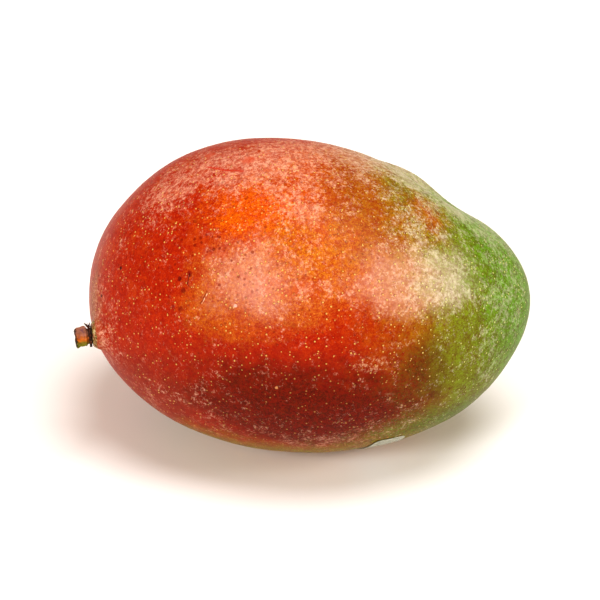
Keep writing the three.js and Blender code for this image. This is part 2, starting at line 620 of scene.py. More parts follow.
def spot(centre: Triple, half: float, colour: str, strength: float = 0.8) -> Mark:
    """A round mark.

    Args:
        centre: its middle in millimetres.
        half: its half width in millimetres.
        colour: its colour.
        strength: how strongly it shows.

    Returns:
        The mark.
    """
    return Mark(centre, centre, half, colour, strength)


@dataclass(frozen=True)
class Ripening:
    """A colour that takes over towards the tip: the distances from the tip where it starts and is whole."""

    starts: float
    whole: float
    colour: str

    def over(self, colour: Signal, distance: Signal) -> Signal:
        """Lays the colour over another one.

        Args:
            colour: the colour under it.
            distance: how far each place is from the tip, in millimetres.

        Returns:
            The new colour.
        """
        return distance.graph.mix(colour, self.colour, distance.rise(self.whole, self.starts, 1.0, 0.0))


@dataclass(frozen=True)
class SkinFinish:
    """Ripe waxy mango skin: red to green by place, patchy pale bloom, pale and dark dots and small marks,
    with painted shade low on the belly and painted highlights and edge reflections in the pale bloom.
    """

    ground: str = "a22605"
    tip: Triple = (65.0, 5.0, 50.0)
    blush: dict[str, Zone] = default({
        "orange crown": Zone((4, -22, 82), (25, 30, 22), "b44e0c"),
        "bright window": Zone((-13, -22, 80), (13, 12, 8), "cc5804"),
        "burnt edge": Zone((20, -12, 80), (13, 20, 12), "8e4a0a"),
        "amber middle": Zone((-6, -36, 68), (24, 16, 10), "b25a1c", 1.0),
        "rosy low side": Zone((-44, -28, 26), (26, 22, 16), "8a2a12"),
        "orange left": Zone((-27, -34, 59), (11, 8, 9), "ae5612"),
        "orange low": Zone((-20, -39, 57), (12, 8, 7), "b05210", 0.7),
        "amber upper": Zone((8, -30, 76), (18, 10, 8), "b8620c"),
        "amber back": Zone((8, 42, 58), (26, 16, 18), "aa4a10", 0.9),
        "dark back foot": Zone((-18, 40, 18), (36, 18, 14), "781c06"),
        # Pale tan rim at the stem end: partly tan skin, partly painted reflection along the left edge.
        "tan rim and edge reflection": Zone((-60, -8, 46), (4, 12, 12), "98603e", 0.8),
    })
    brown: Ripening = Ripening(76.0, 59.0, "96540c")
    # Dark crimson belly low on the near side: partly the skin's own colour, partly painted shade under the
    # fruit.
    dark_belly_and_shade: Zone = Zone((1, -46, 30), (41, 20, 18), "581602", 1.3)
    brown_flank: Zone = Zone((35, -41, 41), (15, 14, 12), "5e3a04", 1.1)
    olive: Ripening = Ripening(61.0, 45.0, "6e6e12")
    green: Ripening = Ripening(46.0, 24.0, "58780e")
    rusty_ridge: Zone = Zone((33, -12, 76), (9, 10, 7), "a44e10", 0.9)
    underside: Zone = Zone((4, -12, 2), (80, 60, 16), "7a7010", 1.2)
    golden_underside: Zone = Zone((4, -8, -3), (80, 60, 11), "b8880c", 1.3)
    green_underside: Zone = Zone((44, -34, 15), (34, 24, 14), "586408", 1.3)
    bloom_colour: str = "f4c4a6"
    cool_bloom_colour: str = "e8e4cc"
    bloom: dict[str, Zone] = default({
        "crown": Zone((-12, -2, 86), (24, 14, 12), strength=0.85),
        # Grey crown: partly real bloom, partly painted reflection of the pale surroundings at the upper edge.
        "grey crown and edge reflection": Zone((20, 12, 85), (20, 12, 9), strength=1.15),
        "left crown": Zone((-38, -3, 77), (10, 12, 9), strength=0.6),
        "back shoulder": Zone((-24, 36, 62), (20, 14, 16), strength=0.5),
        "back low": Zone((14, 42, 34), (24, 14, 12), strength=0.4),
        "coral patch": Zone((0, -22, 82), (8, 8, 7), strength=0.65),
        "brown shoulder": Zone((28, -20, 77), (10, 12, 8), strength=0.35),
        # These two patches are partly real bloom and partly painted highlights.
        "middle patch and highlight": Zone((-6, -34, 71), (16, 12, 8), strength=0.3),
        "right patch": Zone((31, -32, 65), (20, 14, 9), strength=0.4),
        # Along the sinus and the far ridge the pale colour is partly bloom, partly painted reflection at a
        # grazing angle.
        "hollow and edge reflection": Zone((40, 6, 71), (13, 15, 11), strength=1.15),
        "far ridge and edge reflection": Zone((38, 26, 70), (14, 12, 10), strength=0.9),
        "tip top": Zone((54, 4, 65), (12, 8, 8), strength=0.7),
        "tip": Zone((54, -14, 55), (12, 17, 13), strength=0.5),
        "stem side": Zone((-58, -12, 40), (8, 20, 16), strength=0.35),
        "low left": Zone((-34, -34, 26), (26, 20, 14), strength=0.12),
        "low middle": Zone((14, -42, 20), (30, 14, 9), strength=0.4),
        "tip low": Zone((53, -29, 42), (8, 12, 10), strength=0.3),
    })
    shine: dict[str, Zone] = default({
        "middle": Zone((-12, -38, 65), (16, 13, 9), strength=0.28),
        "right": Zone((38, -31, 63), (16, 14, 10), strength=0.42),
        "crown": Zone((4, 6, 87), (50, 20, 10), strength=0.3),
    })
    # Pale haze: partly bloom, partly painted highlights at the two highlight places and painted reflection
    # along the ridges and the crown edge.
    veil_and_painted_light: dict[str, Zone] = default({
        "middle": Zone((-14, -35, 69), (13, 13, 9.5), strength=0.9),
        "right": Zone((34, -32, 66), (20, 15, 9.5), strength=1.2),
        "right start": Zone((23, -34, 69), (10, 8, 7), strength=0.7),
        "left start": Zone((-27, -34, 59), (6, 6, 5), strength=0.35),
        "hollow and edge reflection": Zone((42, 0, 70), (7, 8, 6), strength=0.7),
        "ridge": Zone((28, 4, 79), (9, 8, 5), strength=0.5),
        "far ridge and edge reflection": Zone((38, 24, 72), (14, 12, 9), strength=0.9),
        "crown edge": Zone((12, 14, 86), (14, 7, 5), strength=0.45),
    })
    scuffs: dict[str, Zone] = default({
        "pale net": Zone((19.0, -45.4, 47.6), (6.0, 5.0, 2.6)),
        "pale dash": Zone((26.5, -42.8, 52.4), (4.5, 4.0, 1.3)),
        "tan patch": Zone((23.0, -44.4, 36.0), (3.0, 3.0, 3.4), strength=0.6),
    })
    collar: Triple = (-59.4, -14.3, 38.1)
    marks: dict[str, Mark] = default({
        "black speck": spot((-50.5, -11.9, 58.5), 0.5, "140402"),
        "edge speck": spot((-57.5, -3.8, 51.4), 0.35, "240804"),
        "small edge speck": spot((-54.5, -8.8, 53.9), 0.3, "240804"),
        "low edge speck": spot((-56.4, -9.7, 48.3), 0.45, "1c0402"),
        "upper blotch": spot((-30.7, -27.9, 65.6), 0.9, "64060a", 0.6),
        "left blotch": spot((-33.4, -27.2, 63.7), 0.6, "4c0408", 0.7),
        "middle blotch": spot((-32.4, -29.5, 61.4), 0.8, "5c0608", 0.65),
        "low blotch": spot((-33.2, -31.4, 56.8), 0.8, "6c0808", 0.6),
        "lowest blotch": spot((-35.2, -29.9, 56.7), 0.55, "6c0808", 0.6),
        "crimson hook": Mark((-30.7, -27.9, 65.6), (-31.3, -29.2, 63.2), 0.2, "3c0210", 0.7),
        "crimson hook foot": Mark((-31.3, -29.2, 63.2), (-30.2, -30.2, 62.6), 0.16, "4c0210", 0.7),
        "scratch": Mark((-27.6, -33.6, 59.7), (-26.2, -33.0, 62.3), 0.18, "5a1006", 0.7),
        # Painted highlight: a pale line along the scratch that stands for its glint.
        "scratch glint": Mark((-27.2, -33.8, 59.7), (-25.8, -33.2, 62.3), 0.12, "ffe0b8", 0.6),
        "thin crown line": Mark((-26.7, 0.7, 83.5), (-21.2, -3.8, 84.8), 0.32, "b41c04", 0.7),
        "thin crown line end": Mark((-21.2, -3.8, 84.8), (-16.2, -6.0, 85.7), 0.26, "b41c04", 0.6),
        "bare blot": spot((-14.8, -0.7, 86.5), 1.7, "b83404", 0.6),
        "second bare blot": spot((-25.9, 7.9, 83.7), 1.6, "b43404", 0.6),
        "whitish spot": spot((-18.1, -37.6, 61.3), 0.5, "ffe0d0", 0.4),
        "dark smear": Mark((9.0, -43.4, 59.5), (9.8, -44.4, 55.5), 0.9, "8c1402", 0.5),
        "tan scar": spot((-7.0, -45.5, 40.2), 0.45, "c8905c"),
    })
    mottle_depths: Triple = (0.24, 0.66, 0.56)
    grime: str = "54340c"
    flush: str = "b4440c"
    stain: str = "6e1204"
    collar_tan: str = "98583a"
    collar_cork: str = "8a8048"
    collar_dark: str = "42200e"
    collar_pale: str = "c8c090"
    thin_lines: str = "8c1802"
    veil_and_light_colour: str = "dca890"
    cool_veil_and_light_colour: str = "d8cab4"
    scuff_colour: str = "e8c49c"
    # Dark rims round the pores: partly real, partly painted shade on one side of each pore.
    pore_rims_and_shade: str = "4a1404"
    pores: str = "e8c068"
    cool_pores: str = "d8dc84"
    dark_dots: Zone = Zone((-22, -26, 70), (26, 20, 20), "701404")
    sheen: str = "ffe2c4"
    roughness: float = 0.4

    def make(self) -> bpy.types.Material:
        """Builds the material: the colours by place first, then bloom over them, partly painted highlights
        and edge reflections, then the dots and marks.

        Returns:
            The skin's material.
        """
        g = Graph("mango_skin")
        p = g.place()
        loose = g.drift(g.drift(p, 26.0, 6.0), 6.0, 2.4, 4.0)
        colour = self._colours(g, p, loose)
        colour, bloom = self._bloomed(g, p, loose, colour)
        colour, relief = self._dotted(g, p, colour)
        at = g.drift(p, 0.9, 0.4, 3.0)
        for mark in self.marks.values():
            colour = g.mix(colour, mark.colour, mark.share(at))
        peel = g.noise(p, 1.6, 3.0, 0.5, 4.0)
        grit = g.noise(p, 0.5, 2.0, 0.6, 12.0)
        rough = (grit * 0.5 + bloom * 0.2).rise(0.1, 0.6, self.roughness - 0.06, self.roughness + 0.08)
        return g.finish(
            Base_Color=colour,
            Roughness=rough,
            Normal=g.bump(peel * 0.6 + grit * 0.3 + bloom * 0.15 + relief * 0.5, 0.6, 0.12),
            Specular_IOR_Level=0.07,
            Coat_Weight=self._total(self.shine, loose) * (grit + bloom * 0.4).rise(0.35, 0.95, 0.1, 0.75),
            Coat_Roughness=0.33,
            Sheen_Weight=0.01,
            Sheen_Roughness=0.35,
            Sheen_Tint=linear(self.sheen),
        )

    @staticmethod
    def _total(zones: dict[str, Zone], at: Signal) -> Signal:
        """The sum of several zones' shares.

        Args:
            zones: the zones.
            at: places in millimetres.

        Returns:
            The sum.
        """
        first, *others = zones.values()
        total = first.share(at)
        for zone in others:
            total = total + zone.share(at)
        return total

    def _colours(self, g: Graph, p: Signal, loose: Signal) -> Signal:
        """Lays the skin's colours, from the stem's side to the tip; the dark belly low on the near side is
        partly painted shade.

        Args:
            g: the material's nodes.
            p: places in millimetres.
            loose: the same places, moved about, so that edges wander.

        Returns:
            The colour.
        """
        grain = g.noise(p, 0.42, 2.0, 0.6, 9.0) - 0.5
        fray = g.noise(p, 5.0, 6.0, 0.7, 3.0) - 0.5 + grain * 0.4
        distance = (loose - self.tip).length() + fray * 20.0
        colour: Signal | str = self.ground
        for zone in self.blush.values():
            colour = zone.over(colour, loose, fray, 0.1, 0.8)
        colour = self.brown.over(colour, distance)
        # Painted shade, with some real dark crimson: darkens the belly low on the near side.
        colour = self.dark_belly_and_shade.over(colour, loose, fray * 1.1, 0.05, 1.0)
        colour = self.brown_flank.over(colour, loose, fray * 0.6, 0.1, 0.95)
        colour = self.olive.over(colour, distance)
        colour = self.rusty_ridge.over(colour, loose, fray * 0.8, 0.15, 1.0, 0.0, 0.8)
        colour = self.green.over(colour, distance)
        colour = self.green_underside.over(colour, loose, fray * 0.8, 0.2, 1.05)
        colour = self.underside.over(colour, loose, fray * 0.5, 0.2, 0.9)
        golden = self.golden_underside
        colour = g.mix(colour, golden.colour, golden.share(loose).rise(0.2, 0.8))
        fleck = g.noise(g.drift(p, 2.0, 0.8), 2.6, 6.0, 0.8, 5.0) - 0.5
        fine = g.noise(g.drift(p, 0.8, 0.3), 0.75, 4.0, 0.8, 19.0) - 0.5
        mottle = fleck + fine * 0.6 + grain * 0.9
        tones = {i: mottle.rise(-0.3, 0.3, 1 - v, 1 + v) for i, v in enumerate(self.mottle_depths)}
        colour = colour * g.out("ShaderNodeCombineXYZ", {}, tones, 0)
        grime = g.noise(g.drift(p, 1.5, 0.6), 1.5, 6.0, 0.8, 41.0).rise(0.54, 0.66, 0.0, 0.3)
        colour = g.mix(colour, self.grime, grime)
        flush = g.noise(g.drift(p, 5.0, 2.5), 6.0, 7.0, 0.75, 45.0).rise(0.5, 0.6, 0.0, 0.55)
        upper = p.dot((0.0, 0.0, 1.0)).rise(46.0, 60.0)
        colour = g.mix(colour, self.flush, flush * distance.rise(60.0, 80.0) * upper)
        stain = g.noise(g.drift(p, 4.0, 2.0), 3.4, 5.0, 0.7, 15.0).rise(0.58, 0.7, 0.0, 0.45)
        colour = g.mix(colour, self.stain, stain * distance.rise(52.0, 66.0))
        return self._collared(g, p, colour)

    def _collared(self, g: Graph, p: Signal, colour: Signal) -> Signal:
        """Lays the pale corky collar round the stem, with its dark spots, and the tan skin next to it.

        Args:
            g: the material's nodes.
            p: places in millimetres.
            colour: the skin's colour.

        Returns:
            The new colour.
        """
        off = g.drift(p, 1.2, 0.4) - self.collar
        height = off.dot(tuple(STEM_AXIS))
        near = off.length().rise(5.0, 7.5, 1.0, 0.0)
        colour = g.mix(colour, self.collar_tan, height.rise(-4.2, -2.0, 0.0, 0.55) * near)
        band = height.rise(-1.5, -1.0) * near
        colour = g.mix(colour, self.collar_cork, band)
        spots = g.noise(p, 1.0, 3.0, 0.7, 21.0)
        colour = g.mix(colour, self.collar_dark, spots.rise(0.48, 0.54) * band * 0.9)
        return g.mix(colour, self.collar_pale, spots.rise(0.38, 0.44, 0.7, 0.0) * band)

    def _bloomed(self, g: Graph, p: Signal, loose: Signal, colour: Signal) -> tuple[Signal, Signal]:
        """Dulls the colour with patches of pale waxy bloom, then adds thin red lines, a pale haze that is
        partly bloom and partly painted highlights and edge reflections, and scuffs.

        Args:
            g: the material's nodes.
            p: places in millimetres.
            loose: the same places, moved about.
            colour: the skin's colour.

        Returns:
            The new colour, and the bloom from 0 to 1.
        """
        rubbed = g.noise(g.drift(p, 3.0, 1.5), 4.2, 8.0, 0.72, 6.0)
        dust = g.noise(p, 0.8, 4.0, 0.7, 7.0)
        net = g.noise(g.drift(p, 2.5, 1.2), 1.7, 5.0, 0.7, 8.0).peak(0.5, 0.05)
        # Stretched streaks over the right patch: partly bloom, partly painted highlight streaks.
        streaks = g.noise(loose * (0.22, 1.0, 0.9), 1.1, 3.0, 0.6, 17.0) - 0.5
        cover = self._total(self.bloom, loose) - self.dark_belly_and_shade.share(p) * 0.1
        cover = cover + streaks * self.bloom["right patch"].share(p) * 1.2
        mask = (rubbed * 1.2 + dust * 0.9 + net * 0.15 + cover * 0.45).rise(1.19, 1.43)
        distance = (loose - self.tip).length()
        worn = g.noise(g.drift(p, 1.0, 0.5), 1.3, 4.0, 0.7, 27.0).rise(0.4, 0.6, 0.14, 0.5)
        worn = worn * distance.rise(26.0, 60.0, 0.6, 1.0)
        pale = g.mix(self.cool_bloom_colour, self.bloom_colour, distance.rise(50.0, 74.0))
        colour = g.mix(colour, pale, mask * worn)
        lines = g.noise(g.drift(p, 1.5, 0.9), 1.3, 5.0, 0.7, 51.0).peak(0.5, 0.045)
        colour = g.mix(colour, self.thin_lines, lines * distance.rise(50.0, 66.0) * 0.6)
        # Painted highlights and reflections, with bloom: the pale haze.
        veil_and_light_share = (self._total(self.veil_and_painted_light, loose) + (rubbed - 0.5) * 1.1 + (dust - 0.5) * 0.5).rise(0.12, 1.0)
        soft = g.mix(self.cool_veil_and_light_colour, self.veil_and_light_colour, distance.rise(38.0, 58.0))
        colour = g.mix(colour, soft, veil_and_light_share * dust.rise(0.3, 0.7, 0.24, 0.42))
        scuffed = g.noise(g.drift(p, 1.2, 0.6), 1.1, 5.0, 0.75, 33.0).rise(0.5, 0.6)
        scuffed = scuffed * self._total(self.scuffs, p).rise(0.25, 0.75)
        return g.mix(colour, self.scuff_colour, scuffed * 0.36), mask

    def _dotted(self, g: Graph, p: Signal, colour: Signal) -> tuple[Signal, Signal]:
        """Adds the pale pores with their darker rims, which are set off to one side so that they also paint a
        shade beside each pore, and the dark dots.

        Args:
            g: the material's nodes.
            p: places in millimetres.
            colour: the skin's colour.

        Returns:
            The new colour and how far the pores stand up.
        """
        pores = g.dots(p, 1.08, 0.29, (0.0, 0.0, 0.0), 0.9)
        # Painted shade: a larger dark disc set slightly off each pore, so that a dark crescent shows on one
        # side as if the pore stood up.
        rims_and_shade = g.dots(p, 1.08, 0.44, (0.12, 0.06, -0.16), 0.9)
        shown = self.dark_belly_and_shade.share(p).rise(0.2, 0.9, 1.0, 0.45)
        colour = g.mix(colour, self.pore_rims_and_shade, rims_and_shade * 0.35)
        pale = g.mix(self.cool_pores, self.pores, (p - self.tip).length().rise(46.0, 66.0))
        colour = g.mix(colour, pale, pores * shown * 0.62)
        dark = g.dots(p, 1.75, 0.55, (31.0, 7.0, 3.0), 0.8)
        return g.mix(colour, self.dark_dots.colour, dark * self.dark_dots.share(p) * 0.75), pores


@dataclass(frozen=True)
class StemFinish:
    """Dry stalk bark: orange along the side and olive below, with pinkish brown and mauve on top that are
    partly painted light from above, and a black dried cut end.
    """

    seat: Triple
    length: float
    # Pinkish brown on the upper side: partly painted light from above.
    upper: str = "8c5c48"
    side: str = "b4600e"
    lower: str = "6a6a0c"
    mauve: str = "6e4458"
    dried: str = "160c08"
    pith: str = "5a4024"
    foot: str = "24140c"
    roughness: float = 0.7

    def make(self) -> bpy.types.Material:
        """Builds the material.

        Returns:
            The stem's material.
        """
        g = Graph("cut_stem")
        p = g.place()
        off = p - self.seat
        height = off.dot(tuple(STEM_AXIS))
        streaks = g.noise(p * (0.3, 1.0, 1.0), 0.7, 4.0, 0.6, 2.0) - 0.5
        level = g.drift(off, 1.2, 0.9, 4.0).dot((0.0, 0.15, 0.32)) + streaks * 0.7
        colour = g.mix(self.lower, self.side, level.rise(-0.85, -0.25))
        colour = g.mix(colour, self.upper, level.rise(-0.3, 0.4))
        # Mauve patches on the upper side only: partly painted light from above.
        blush = g.noise(p, 2.2, 3.0, 0.5, 5.0).rise(0.52, 0.62, 0.0, 0.6) * level.rise(-0.3, 0.1)
        colour = g.mix(colour, self.mauve, blush)
        fibre = streaks.rise(-0.2, 0.2, 0.68, 1.3)
        colour = colour * g.out("ShaderNodeCombineXYZ", {}, dict.fromkeys(range(3), fibre), 0)
        ragged = height + (g.noise(p, 1.1, 4.0, 0.65, 7.0) - 0.5) * 1.8
        colour = g.mix(colour, self.dried, ragged.rise(self.length - 0.7, self.length - 0.3, 0.0, 0.92))
        middle = off - tuple(STEM_AXIS * self.length)
        face = middle.dot(middle).rise(1.2, 5.0, 1.0, 0.0) * g.noise(p, 0.5, 3.0, 0.6, 9.0).rise(0.4, 0.6)
        colour = g.mix(colour, self.pith, face * 0.7)
        colour = g.mix(colour, self.foot, (height + streaks).rise(0.7, 1.1, 0.9, 0.0))
        return g.finish(
            Base_Color=colour,
            Roughness=fibre.rise(0.7, 1.3, self.roughness + 0.12, self.roughness - 0.1),
            Normal=g.bump(streaks + 0.5 + g.noise(p, 0.35, 3.0, 0.6, 4.0) * 0.3, 0.7, 0.12),
            Specular_IOR_Level=0.25,
        )


@dataclass(frozen=True)
class DryFinish:
    """Dried-up sepal remains: nearly black, browner on the knobs, with paler whisker ends."""

    seat: Triple
    colour: str = "1a0f0a"
    knobs: str = "5c2a14"
    ends: str = "7a5c3a"
    specks: str = "a08858"
    roughness: float = 0.85

    def make(self) -> bpy.types.Material:
        """Builds the material.

        Returns:
            The calyx's material.
        """
        g = Graph("dry_calyx")
        p = g.place()
        height = (p - self.seat).dot(tuple(STEM_AXIS))
        crust = g.noise(g.drift(p, 0.6, 0.2), 0.55, 5.0, 0.65, 3.0)
        colour = g.mix(self.colour, self.knobs, crust.rise(0.45, 0.6))
        colour = g.mix(colour, self.ends, (height + (crust - 0.5) * 1.2).rise(1.5, 2.1, 0.0, 0.7))
        colour = g.mix(colour, self.specks, g.dots(p, 0.42, 0.12, (3.0, 5.0, 2.0), 0.7) * 0.5)
        return g.finish(
            Base_Color=colour,
            Roughness=crust.rise(0.35, 0.65, self.roughness + 0.1, self.roughness - 0.15),
            Normal=g.bump(crust, 0.8, 0.1),
            Specular_IOR_Level=0.25,
        )


@dataclass(frozen=True)
class LabelFinish:
    """Thin blank paper with short pale fibres and darker grey patches; its grey tone is partly painted shade,
    low under the fruit.
    """

    # Greyer than blank paper: partly painted shade where the label sits low under the fruit.
    paper: str = "a8aa98"
    darker_patches: str = "6c6e58"
    fibre: str = "dcdcd0"
    roughness: float = 0.5

    def make(self) -> bpy.types.Material:
        """Builds the material.

        Returns:
            The label's material.
        """
        g = Graph("label_paper")
        p = g.place()
        patch_noise = g.noise(g.drift(p, 2.0, 0.8), 1.8, 5.0, 0.65, 2.0)
        colour = g.mix(self.paper, self.darker_patches, patch_noise.rise(0.45, 0.65, 0.0, 0.75))
        threads = g.noise(g.drift(p, 1.2, 0.9) * (0.5, 1.0, 1.0), 0.35, 3.0, 0.6, 6.0).peak(0.5, 0.05)
        colour = g.mix(colour, self.fibre, threads * 0.5)
        return g.finish(
            Base_Color=colour,
            Roughness=patch_noise.rise(0.4, 0.65, self.roughness + 0.1, self.roughness - 0.1),
            Normal=g.bump(patch_noise * 0.7 + threads * 0.3, 0.5, 0.06),
            Specular_IOR_Level=0.4,
        )


@dataclass
class Fruit:
    """The whole fruit: its skin as rings round the stem, with the stem's socket and the flat spot."""

    form: MangoForm
    rings: int = 244
    around: int = 384
    crowding: float = 0.78
    socket_radius: float = 2.5
    socket_depth: float = 1.8
    rest_depth: float = 0.6
    unevenness: float = 0.16
    dimples: float = 0.03

    def __post_init__(self) -> None:
        """Works out the grid once, and the shift from the body's middle to the shared frame."""
        share = np.arange(1, self.rings) / self.rings
        tilt = math.pi * share - self.crowding / 2 * np.sin(2 * math.pi * share)
        turn = 2 * math.pi * np.arange(self.around) / self.around
        side, up = tangents(STEM_TOWARDS)
        out = side * np.cos(turn)[:, None] + up * np.sin(turn)[:, None]
        self.directions = renewed(
            STEM_TOWARDS * np.cos(tilt)[:, None, None] + out[None] * np.sin(tilt)[:, None, None]
        )
        self.bare = self.form.skin(self.directions)
        flat = self.bare.reshape(-1, 3)
        lo, hi = (Vector(corner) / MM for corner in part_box("fruit"))
        middle = (flat.max(axis=0) + flat.min(axis=0)) / 2
        self.shift = (np.array(lo) + np.array(hi)) / 2 - middle
        self.shift[2] = -flat[:, 2].min() - self.rest_depth

    def build(self) -> bpy.types.Object:
        """Builds the fruit: the skin, gently uneven, sunk round the stem's root and flat where it rests.

        Returns:
            The finished piece.
        """
        seat = self.form.seat()
        normal = self.form.normal(self.directions)
        lift = self.unevenness * Ripple(5, 14.0, 34.0).at(self.bare)
        lift = lift + self.dimples * Ripple(8, 2.6, 6.0).at(self.bare)
        reach = np.linalg.norm(self.bare - seat, axis=-1)
        points = self.bare + normal * (lift * smooth(reach, 4.0, 9.0))[..., None]
        sunk = self.socket_depth * (1 - smooth(reach, self.socket_radius - 0.25, self.socket_radius + 0.25))
        points = points - STEM_AXIS * sunk[..., None] + self.shift
        points[..., 2] = 0.5 * (points[..., 2] + np.sqrt(points[..., 2] ** 2 + 0.05**2))
        first = seat - STEM_AXIS * self.socket_depth + self.shift
        last = self.form.skin(-STEM_TOWARDS) + self.shift
        piece = closed_mesh("mango_body", first, points, last)
        return settle(piece, SkinFinish().make(), "fruit")


@dataclass
class StemFrame:
    """Places points given by radius, turn and height on the stem's seat; turn 0 is the upper side."""

    seat: np.ndarray

    def __post_init__(self) -> None:
        """Works out the direction upwards and the one sideways, both square to the stem."""
        self.up = renewed(np.array([0.0, 0.0, 1.0]) - STEM_AXIS[2] * STEM_AXIS)
        self.side = np.cross(self.up, STEM_AXIS)

    def at(self, radius: np.ndarray, turn: np.ndarray, height: np.ndarray) -> np.ndarray:
        """The place seat + radius (cos turn up + sin turn side) + height along the stem.

        Args:
            radius: distances from the stem's middle line.
            turn: angles round it, in radians.
            height: heights over the seat.

        Returns:
            Places of shape (..., 3).
        """
        out = np.cos(turn)[..., None] * self.up + np.sin(turn)[..., None] * self.side
        return self.seat + radius[..., None] * out + height[..., None] * STEM_AXIS


@dataclass
class CutStem:
    """The cut stub of the stalk: a root in the socket, a foot that flares over the calyx, a cut end."""

    frame: StemFrame
    root_radius: float = 2.2
    root_depth: float = 1.5
    foot: float = 1.35
    radius: float = 3.1
    cut_radius: float = 2.75
    length: float = 4.7
    around: int = 96

    def build(self) -> bpy.types.Object:
        """Builds the stem: rings up its side, then rings inwards over the sunken, uneven cut face.

        Returns:
            The finished piece.
        """
        turn = 2 * math.pi * np.arange(self.around) / self.around
        height = np.linspace(-self.root_depth, self.length, 90)
        flare = smooth(height, self.foot - 0.35, self.foot + 0.25)
        narrowing = smooth(height, self.foot + 0.8, self.length)
        rounding = smooth(height, self.length - 0.35, self.length)
        side = self.root_radius + (self.radius - self.root_radius) * flare
        side = side - (self.radius - self.cut_radius) * narrowing - 0.25 * rounding**2
        share = np.linspace(1, 0, 26)[1:-1]
        radius = np.concatenate([side, side[-1] * share])
        face = self.length - 0.28 * smooth(1 - share, 0.08, 0.5) + 0.1 * smooth(1 - share, 0.6, 1.0)
        height = np.concatenate([height, face])
        radius, height = (np.repeat(v[:, None], self.around, axis=1) for v in (radius, height))
        turn = np.repeat(turn[None], len(radius), axis=0)
        bare = self.frame.at(radius, turn, height)
        groove = np.abs(np.sin(4.5 * turn + 1.3 * Ripple(3, 2.0, 5.0).at(bare)))
        worn = 0.16 * Ripple(4, 1.2, 3.0).at(bare) - 0.06
        worn = worn - 0.10 * groove * smooth(height, self.foot, self.foot + 0.6)
        radius = radius * (1 + worn * smooth(height, 0.6, self.foot))
        end = smooth(height, self.length - 0.9, self.length - 0.3)
        height = height + end * (0.16 * Ripple(6, 1.4, 4.0).at(bare) - 0.12)
        points = self.frame.at(radius, turn, height)
        zero = np.zeros(1)
        first = self.frame.at(zero, zero, zero - self.root_depth)[0]
        piece = closed_mesh("stem_stub", first, points, points[-1].mean(axis=0))
        finish = StemFinish(tuple(self.frame.seat), self.length)
        return settle(piece, finish.make(), "stem")


@dataclass(frozen=True)
class Whisker:
    """One dried whisker: its turn round the stem, its lean and curl in degrees, its length and radius."""

    turn: float
    lean: float
    length: float
    radius: float
    curl: float = 20.0


@dataclass
class DriedCalyx:
    """The dried ring of sepal remains round the stem's foot, with short stiff whiskers."""

    frame: StemFrame
    middle_radius: float = 2.78
    thickness: float = 0.3
    height: float = 0.34
    stretch: float = 0.88
    around: int = 150
    tube_around: int = 20
    whisker_circles: int = 14
    whiskers: tuple[Whisker, ...] = (
        Whisker(4, 44, 2.3, 0.34),
        Whisker(-4, 74, 1.3, 0.14, 10),
        Whisker(-12, 112, 1.2, 0.2, -10),
        Whisker(62, 58, 1.2, 0.24),
        Whisker(118, 50, 0.8, 0.24),
        Whisker(163, 66, 0.3, 0.18),
        Whisker(205, 48, 0.35, 0.2),
        Whisker(248, 60, 0.6, 0.2),
        Whisker(305, 52, 1.3, 0.24),
    )

    def build(self) -> bpy.types.Object:
        """Builds the calyx: a knobbly ring, and a tapered curved tube for each whisker, joined as one piece.

        Returns:
            The finished piece.
        """
        turn = 2 * math.pi * np.arange(self.around) / self.around
        tube = 2 * math.pi * np.arange(self.tube_around) / self.tube_around
        turn, tube = np.meshgrid(turn, tube, indexing="ij")
        line = self._tube(turn, tube, np.zeros_like(turn))
        thick = self.thickness * (1 + 0.28 * Ripple(9, 0.9, 2.2).at(line))
        knobs = 1 + 0.2 * Ripple(10, 0.5, 1.1).at(self._tube(turn, tube, thick))
        ring = closed_loop("calyx_ring", self._tube(turn, tube, thick * knobs))
        parts = [ring, *(self.whisker(w, i) for i, w in enumerate(self.whiskers))]
        with bpy.context.temp_override(active_object=ring, selected_editable_objects=parts, object=ring):
            bpy.ops.object.join()
        return settle(ring, DryFinish(tuple(self.frame.seat)).make(), "dried_calyx")

    def _tube(self, turn: np.ndarray, tube: np.ndarray, thick: np.ndarray) -> np.ndarray:
        """Places on the ring's surface.

        Args:
            turn: angles round the stem, in radians.
            tube: angles round the ring's own middle line.
            thick: the ring's half thickness there.

        Returns:
            Places of shape (..., 3).
        """
        radius = self.middle_radius + thick * np.cos(tube)
        return self.frame.at(radius, turn, self.height + thick * self.stretch * np.sin(tube))

    def whisker(self, w: Whisker, number: int) -> bpy.types.Object:
        """Builds one whisker: circles that shrink to a point along a line whose lean grows by the curl.

        Args:
            w: the whisker's sizes.
            number: its number, for its name.

        Returns:
            The whisker, not yet joined.
        """
        share = np.linspace(0, 1, self.whisker_circles)
        lean = np.radians(w.lean + w.curl * share)
        turn = math.radians(w.turn)
        out = math.cos(turn) * self.frame.up + math.sin(turn) * self.frame.side
        step = np.cos(lean)[:, None] * STEM_AXIS + np.sin(lean)[:, None] * out
        start = self.frame.at(*(np.array([v]) for v in (self.middle_radius + 0.1, turn, self.height)))
        steps = np.cumsum(step[1:] * w.length / (self.whisker_circles - 1), axis=0)
        line = start + np.concatenate([np.zeros((1, 3)), steps])
        across = np.cross(out, STEM_AXIS)
        other = np.cross(step, across)
        radius = w.radius * (1 - 0.75 * share**1.5)
        angle = 2 * math.pi * np.arange(10) / 10
        circle = np.cos(angle)[None, :, None] * across + np.sin(angle)[None, :, None] * other[:, None]
        rings = line[:, None] + circle * radius[:, None, None]
        return closed_mesh(f"whisker_{number}", line[0], rings, line[-1])


